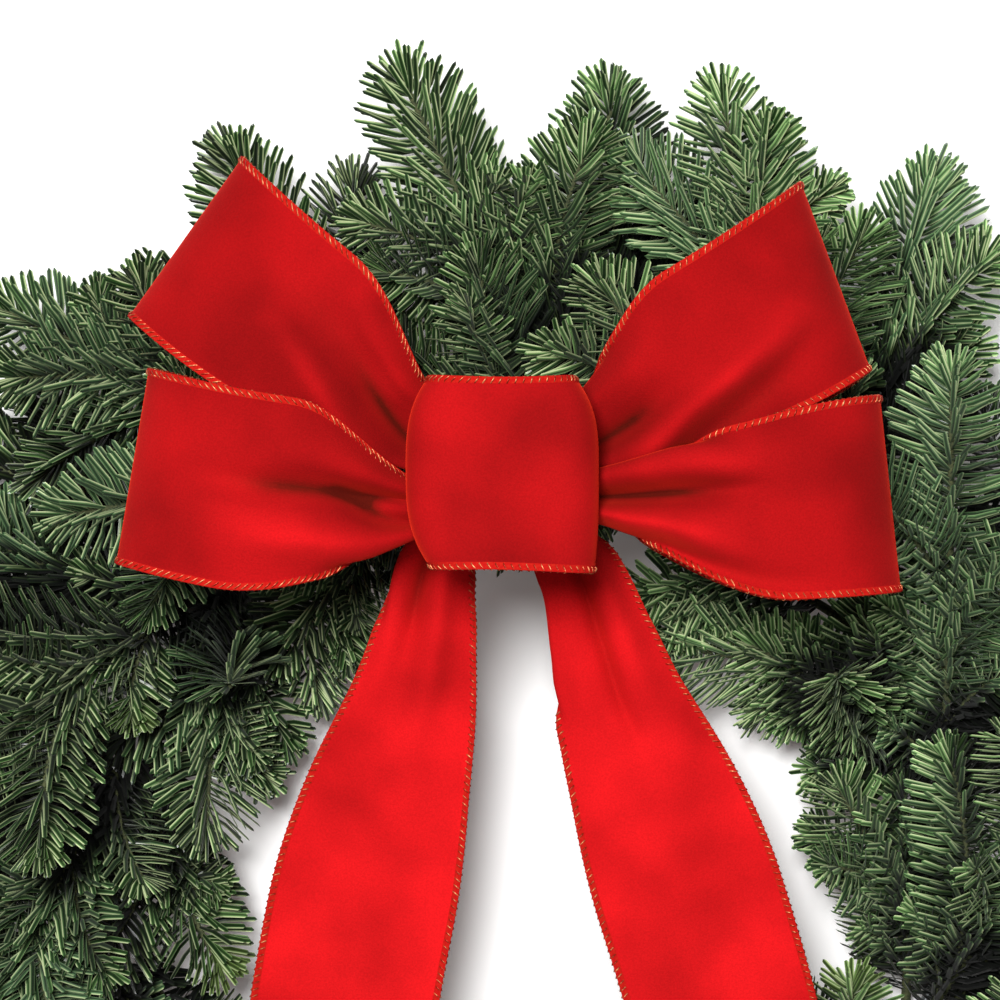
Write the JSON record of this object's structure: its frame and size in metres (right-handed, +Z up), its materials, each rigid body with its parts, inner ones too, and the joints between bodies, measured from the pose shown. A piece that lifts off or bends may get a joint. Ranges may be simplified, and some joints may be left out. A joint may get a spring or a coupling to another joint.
{
  "type": "evergreen wreath",
  "caption": "Fresh fir wreath on a wire clamp ring, lying face up, with a large red velvet bow and two long tails.",
  "frame": {"origin": "middle of the ring, on the surface that the wreath lies on", "axes": "+Z up out of the wreath's face, +Y towards the bow at the wreath's top, +X to the right of one who faces it"},
  "size_m": [0.5849, 0.585, 0.1515],
  "materials": {
    "fir": "waxy needles",
    "velvet": "velvet with stitched wired edges",
    "galvanised_steel": "galvanised",
    "tie_wire": "green enamel"
  },
  "bodies": {
    "root": {"wreath_frame": "galvanised_steel", "loop_upper_left": "velvet", "loop_lower_left": "velvet", "loop_upper_right": "velvet", "loop_lower_right": "velvet", "tail_left": "velvet", "tail_right": "velvet", "centre_loop": "velvet", "bow_tie_wire": "tie_wire", "outer_spray_01": "fir", "rim_spray_01": "fir", "inner_spray_01": "fir", "front_spray_01": "fir", "outer_spray_02": "fir", "rim_spray_02": "fir", "inner_spray_02": "fir", "front_spray_02": "fir", "outer_spray_03": "fir", "rim_spray_03": "fir", "inner_spray_03": "fir", "front_spray_03": "fir", "outer_spray_04": "fir", "rim_spray_04": "fir", "inner_spray_04": "fir", "front_spray_04": "fir", "outer_spray_05": "fir", "rim_spray_05": "fir", "inner_spray_05": "fir", "front_spray_05": "fir", "outer_spray_06": "fir", "rim_spray_06": "fir", "inner_spray_06": "fir", "front_spray_06": "fir", "outer_spray_07": "fir", "rim_spray_07": "fir", "inner_spray_07": "fir", "front_spray_07": "fir", "outer_spray_08": "fir", "rim_spray_08": "fir", "inner_spray_08": "fir", "front_spray_08": "fir", "outer_spray_09": "fir", "rim_spray_09": "fir", "inner_spray_09": "fir", "front_spray_09": "fir", "outer_spray_10": "fir", "rim_spray_10": "fir", "inner_spray_10": "fir", "front_spray_10": "fir", "outer_spray_11": "fir", "rim_spray_11": "fir", "inner_spray_11": "fir", "front_spray_11": "fir", "outer_spray_12": "fir", "rim_spray_12": "fir", "inner_spray_12": "fir", "front_spray_12": "fir"}
  },
  "joints": []
}
